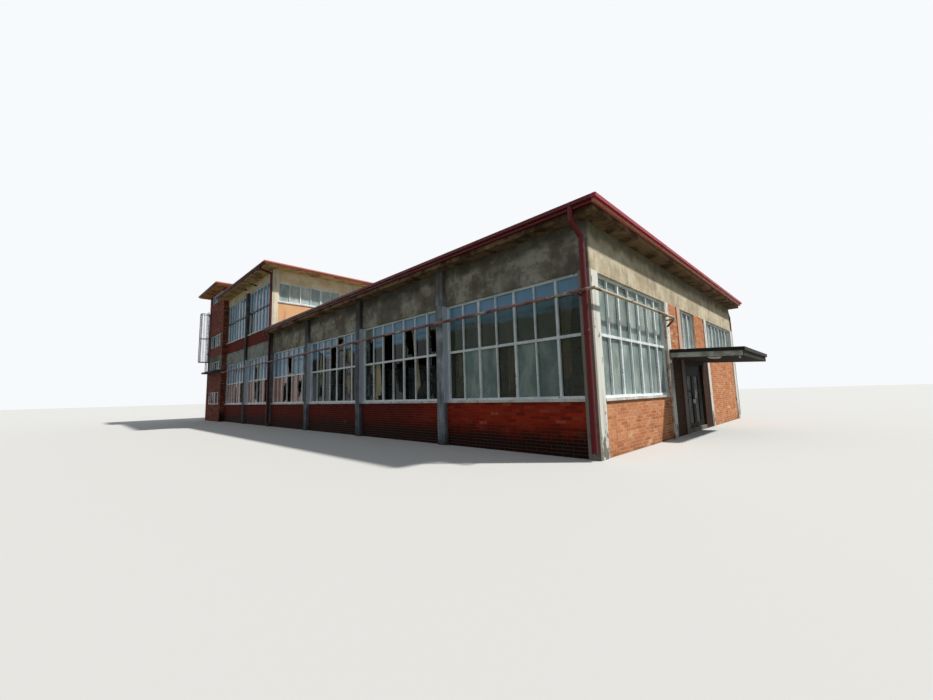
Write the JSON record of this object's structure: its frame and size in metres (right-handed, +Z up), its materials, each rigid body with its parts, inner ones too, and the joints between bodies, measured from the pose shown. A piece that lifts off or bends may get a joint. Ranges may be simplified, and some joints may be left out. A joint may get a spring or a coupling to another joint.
{
  "type": "warehouse building",
  "caption": "Flat-roofed brick and concrete works hall with long glazed bays, a taller two-storey block, a stair tower and a canopied double entrance door.",
  "frame": {"origin": "middle of the building's plan at ground level, under the floor slab", "axes": "+X from the stair tower to the entrance side, -Y the long glazed front, +Z up"},
  "size_m": [33.47, 15.02, 9.5],
  "materials": {
    "brick": "matte fired clay with pale mortar",
    "concrete": "weathered board-marked concrete",
    "plaster": "stained cement render",
    "white_render": "flaking white masonry paint",
    "window_paint": "chalky white paint",
    "sill_paint": "dirty white paint",
    "window_glass": "dusty clear glass",
    "red_paint": "dark red gloss paint",
    "roof_sheet": "dark grey sheet",
    "door_paint": "dark grey-green paint",
    "door_glass": "dusty grey glass",
    "handle_steel": "worn steel",
    "pipe_rust": "rusted primer",
    "bar_paint": "pale grey paint"
  },
  "bodies": {
    "building": {"block_bands": "plaster", "block_beams": "concrete", "block_brick": "brick", "block_columns": "concrete", "block_frames": "window_paint", "block_glass": "window_glass", "block_roof_edge": "red_paint", "block_roof_slab": "concrete", "block_side_brick": "brick", "block_sills": "sill_paint", "cage_front": "bar_paint", "cage_ladder": "bar_paint", "cage_panels": "bar_paint", "canopy_sheet": "roof_sheet", "canopy_slab": "concrete", "door_frame": "door_paint", "door_lintel": "brick", "door_piers": "brick", "downpipes": "red_paint", "floor_slab": "concrete", "hall_band": "plaster", "hall_columns": "concrete", "hall_frames": "window_paint", "hall_glass": "window_glass", "hall_parapets": "brick", "hall_roof_edge": "red_paint", "hall_roof_slab": "concrete", "hall_sills": "sill_paint", "heating_pipe": "pipe_rust", "pipe_brackets": "pipe_rust", "right_band": "plaster", "right_far_wall": "brick", "tower_end_wall": "brick", "tower_frames": "window_paint", "tower_front": "brick", "tower_glass": "window_glass", "tower_ledge": "concrete", "tower_rear_wall": "brick", "tower_roof_edge": "red_paint", "tower_roof_slab": "concrete", "tower_side_wall": "brick", "upper_floor": "concrete", "upper_pier": "brick", "white_columns": "white_render"},
    "near_leaf": {"near_leaf": "door_paint", "near_leaf_glass": "door_glass", "near_leaf_handle": "handle_steel"},
    "far_leaf": {"far_leaf": "door_paint", "far_leaf_glass": "door_glass", "far_leaf_handle": "handle_steel"}
  },
  "joints": [
    {"name": "near_leaf_hinge", "type": "hinge", "parent": "building", "child": "near_leaf", "pos_m": [15.452, -0.741, 0.12], "axis": [0, 0, -1], "range_deg": [0, 90]},
    {"name": "far_leaf_hinge", "type": "hinge", "parent": "building", "child": "far_leaf", "pos_m": [15.452, 1.191, 0.12], "axis": [0, 0, 1], "range_deg": [0, 90]}
  ]
}
